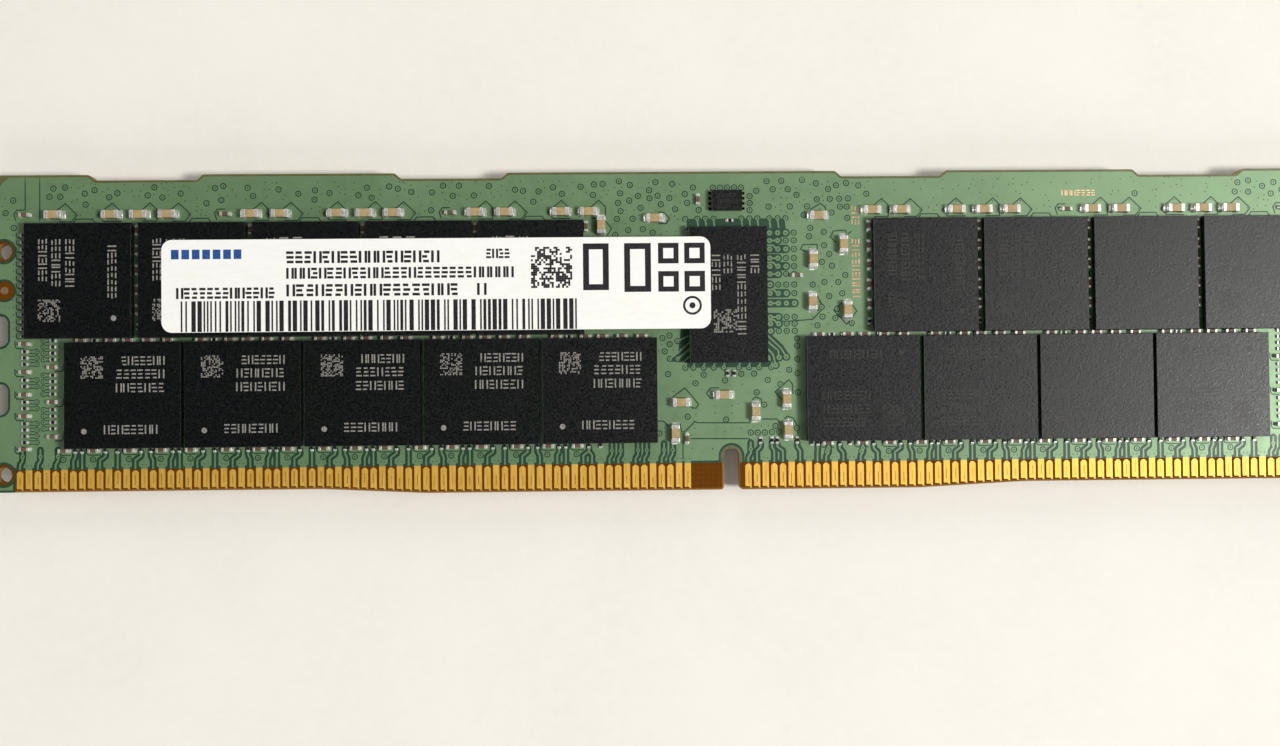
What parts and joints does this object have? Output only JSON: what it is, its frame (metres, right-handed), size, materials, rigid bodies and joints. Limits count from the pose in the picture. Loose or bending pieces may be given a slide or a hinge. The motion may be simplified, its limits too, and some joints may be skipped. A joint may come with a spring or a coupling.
{
  "type": "ram module",
  "caption": "Registered desktop-length memory module lying flat: green notched board with a gold edge connector, black memory packages on both faces, register chip, passives and a label.",
  "frame": {"origin": "under the middle of the module, on the plane through the faces of its back packages, as it lies flat", "axes": "+X along the module from the contact-1 end to the far end, +Y from the contact edge to the top edge, +Z out of the front face"},
  "size_m": [0.1334, 0.0312, 0.0039],
  "materials": {
    "laminate": "glass-fibre epoxy laminate, satin, with its weave faintly showing",
    "solder_mask": "semi-gloss green solder mask over copper foil",
    "gold_plating": "electroplated hard gold, fine wiping scratches",
    "copper": "bare finished copper",
    "solder": "tin-silver solder, slightly grainy",
    "mould_compound": "black epoxy moulding compound, fine glassy speckle",
    "tinned_ends": "matt tin plating",
    "capacitor_ceramic": "tan multilayer ceramic, fine grain",
    "resistor_glaze": "black overglaze",
    "label_film": "satin white label film"
  },
  "bodies": {
    "root": {"capacitor_bodies_back": "capacitor_ceramic", "capacitor_bodies_front": "capacitor_ceramic", "capacitor_ends_back": "tinned_ends", "capacitor_ends_front": "tinned_ends", "circuit_board": "laminate", "contacts_back_left": "gold_plating", "contacts_back_right": "gold_plating", "contacts_front_left": "gold_plating", "contacts_front_right": "gold_plating", "fiducial_pads": "copper", "identification_label": "label_film", "memory_back_lower_1": "mould_compound", "memory_back_lower_2": "mould_compound", "memory_back_lower_3": "mould_compound", "memory_back_lower_4": "mould_compound", "memory_back_lower_5": "mould_compound", "memory_back_lower_6": "mould_compound", "memory_back_lower_7": "mould_compound", "memory_back_lower_8": "mould_compound", "memory_back_lower_9": "mould_compound", "memory_back_upper_1": "mould_compound", "memory_back_upper_2": "mould_compound", "memory_back_upper_3": "mould_compound", "memory_back_upper_4": "mould_compound", "memory_back_upper_5": "mould_compound", "memory_back_upper_6": "mould_compound", "memory_back_upper_7": "mould_compound", "memory_back_upper_8": "mould_compound", "memory_back_upper_9": "mould_compound", "memory_front_lower_1": "mould_compound", "memory_front_lower_2": "mould_compound", "memory_front_lower_3": "mould_compound", "memory_front_lower_4": "mould_compound", "memory_front_lower_5": "mould_compound", "memory_front_lower_6": "mould_compound", "memory_front_lower_7": "mould_compound", "memory_front_lower_8": "mould_compound", "memory_front_lower_9": "mould_compound", "memory_front_upper_1": "mould_compound", "memory_front_upper_2": "mould_compound", "memory_front_upper_3": "mould_compound", "memory_front_upper_4": "mould_compound", "memory_front_upper_5": "mould_compound", "memory_front_upper_6": "mould_compound", "memory_front_upper_7": "mould_compound", "memory_front_upper_8": "mould_compound", "memory_front_upper_9": "mould_compound", "memory_solder_balls_back": "solder", "memory_solder_balls_front": "solder", "register_clock_driver": "mould_compound", "register_solder_balls": "solder", "resistor_bodies": "resistor_glaze", "resistor_ends": "tinned_ends", "small_capacitor_bodies": "capacitor_ceramic", "small_capacitor_ends": "tinned_ends", "solder_mask_back": "solder_mask", "solder_mask_front": "solder_mask", "spd_sensor_chip": "mould_compound", "spd_sensor_pads": "solder"}
  },
  "joints": []
}
